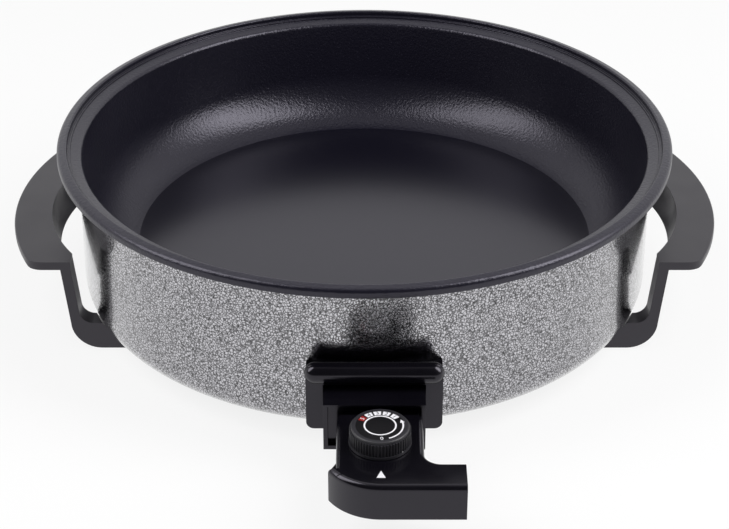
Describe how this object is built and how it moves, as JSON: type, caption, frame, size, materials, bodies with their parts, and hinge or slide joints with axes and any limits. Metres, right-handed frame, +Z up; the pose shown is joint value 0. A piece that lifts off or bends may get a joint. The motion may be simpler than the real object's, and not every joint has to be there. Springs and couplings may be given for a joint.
{
  "type": "round electric party pan",
  "caption": "Round electric party pan with a deep non-stick bowl, hammered grey jacket, two moulded handles that form the feet, and a pull-out plug-in thermostat with a dial.",
  "frame": {"origin": "middle of the footprint on the table: midway between the two handles, and midway between the thermostat's front and the back of the rim", "axes": "+Z up, +Y to the back of the pan and away from the thermostat, +X to the right as seen from the thermostat's side"},
  "size_m": [0.488, 0.5084, 0.125],
  "materials": {
    "nonstick": "fine-grained satin non-stick coating",
    "hammered_paint": "semi-gloss hammered paint in light and dark grey",
    "base_paint": "satin",
    "zinc_steel": "zinc plated",
    "heater_sheath": "dull oxidised",
    "nickel": "satin nickel plated",
    "brass": "plain",
    "ceramic": "unglazed",
    "handle_bakelite": "satin moulded",
    "gloss_bakelite": "glossy moulded",
    "clamp_plastic": "moulded",
    "dial_face": "printed, satin"
  },
  "bodies": {
    "base": {"pan": "nonstick", "outer_skirt": "hammered_paint", "base_plate": "base_paint", "base_screw": "zinc_steel", "heating_element": "heater_sheath", "heater_clamps": "zinc_steel", "clamp_nuts": "zinc_steel", "terminal_pins": "nickel", "pin_insulators": "ceramic", "probe_tube": "zinc_steel", "probe_clip": "zinc_steel", "earth_pin": "brass", "socket_housing": "gloss_bakelite", "socket_screws": "zinc_steel", "handle_left": "handle_bakelite", "handle_right": "handle_bakelite", "foot_screws": "zinc_steel"},
    "thermostat": {"plug_block": "gloss_bakelite", "contact_sleeves": "brass", "earth_clip": "brass", "probe_rod": "nickel", "thermostat_case": "gloss_bakelite", "thermostat_cover": "gloss_bakelite", "cover_screws": "zinc_steel", "contact_block": "ceramic", "guide_strip": "zinc_steel", "moving_blade": "brass", "fixed_blade": "brass", "cord_clamp": "clamp_plastic", "cord_clamp_screws": "zinc_steel"},
    "follower": {"cam_follower": "ceramic"},
    "knob": {"control_knob": "gloss_bakelite", "dial_disc": "dial_face", "spindle": "zinc_steel"}
  },
  "joints": [
    {"name": "thermostat_pull", "type": "slide", "parent": "base", "child": "thermostat", "axis": [0, -1, 0], "range_m": [0, 0.095]},
    {"name": "knob_turn", "type": "hinge", "parent": "thermostat", "child": "knob", "pos_m": [0.0092, -0.21074, 0.04705], "axis": [0, 0, -1], "range_deg": [0, 235]},
    {"name": "follower_lift", "type": "slide", "parent": "thermostat", "child": "follower", "axis": [0, 0, -1], "range_m": [0, 0.0006]}
  ],
  "couplings": [
    {"joint": "follower_lift", "follows": "knob_turn", "m_per_rad": 0.000146}
  ]
}
